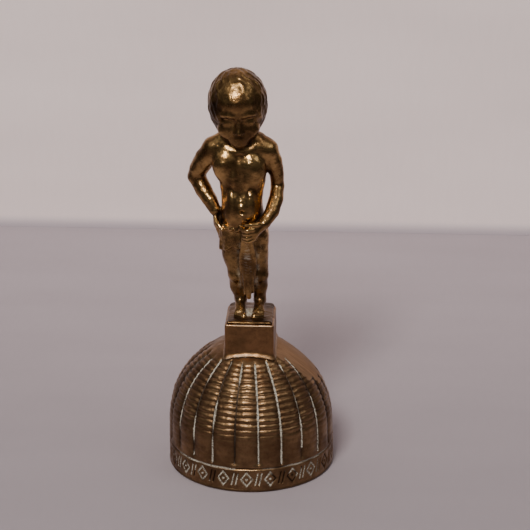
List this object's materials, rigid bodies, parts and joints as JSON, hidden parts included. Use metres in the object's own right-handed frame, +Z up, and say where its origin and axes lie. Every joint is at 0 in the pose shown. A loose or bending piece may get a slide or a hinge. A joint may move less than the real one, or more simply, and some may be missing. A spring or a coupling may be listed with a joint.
{
  "type": "figurine hand bell",
  "caption": "Cast brass souvenir hand bell: a standing child figure on a square plinth is the handle of a ribbed dome bell with a hanging clapper.",
  "frame": {"origin": "centre of the bell's rim plane, which is the face that the bell stands on", "axes": "+Z up through the bell's axis towards the figure's head, -Y the way the figure faces, +X to the right of someone looking at its face"},
  "size_m": [0.046, 0.046, 0.1135],
  "materials": {
    "bell_brass": "aged, dull",
    "plinth_brass": "aged, dull",
    "figure_brass": "worn bright, dark in the hollows",
    "fitting_brass": "tarnished",
    "wire_brass": "tarnished",
    "clapper_brass": "satin, worn"
  },
  "bodies": {
    "bell": {"bell_shell": "bell_brass", "plinth": "plinth_brass", "figure": "figure_brass", "eye_screw": "fitting_brass", "crown_washer": "fitting_brass"},
    "link": {"clapper_link": "wire_brass"},
    "clapper": {"clapper_shank": "wire_brass", "clapper_ball": "clapper_brass"}
  },
  "joints": [
    {"name": "link_twist", "type": "hinge", "parent": "bell", "child": "link", "pos_m": [0, 0, 0.02658], "axis": [0, 0, 1], "range_deg": [-33, 33]},
    {"name": "clapper_swing", "type": "hinge", "parent": "link", "child": "clapper", "pos_m": [0, 0, 0.02438], "axis": [0, 1, 0], "range_deg": [-58.5, 58.5]}
  ]
}
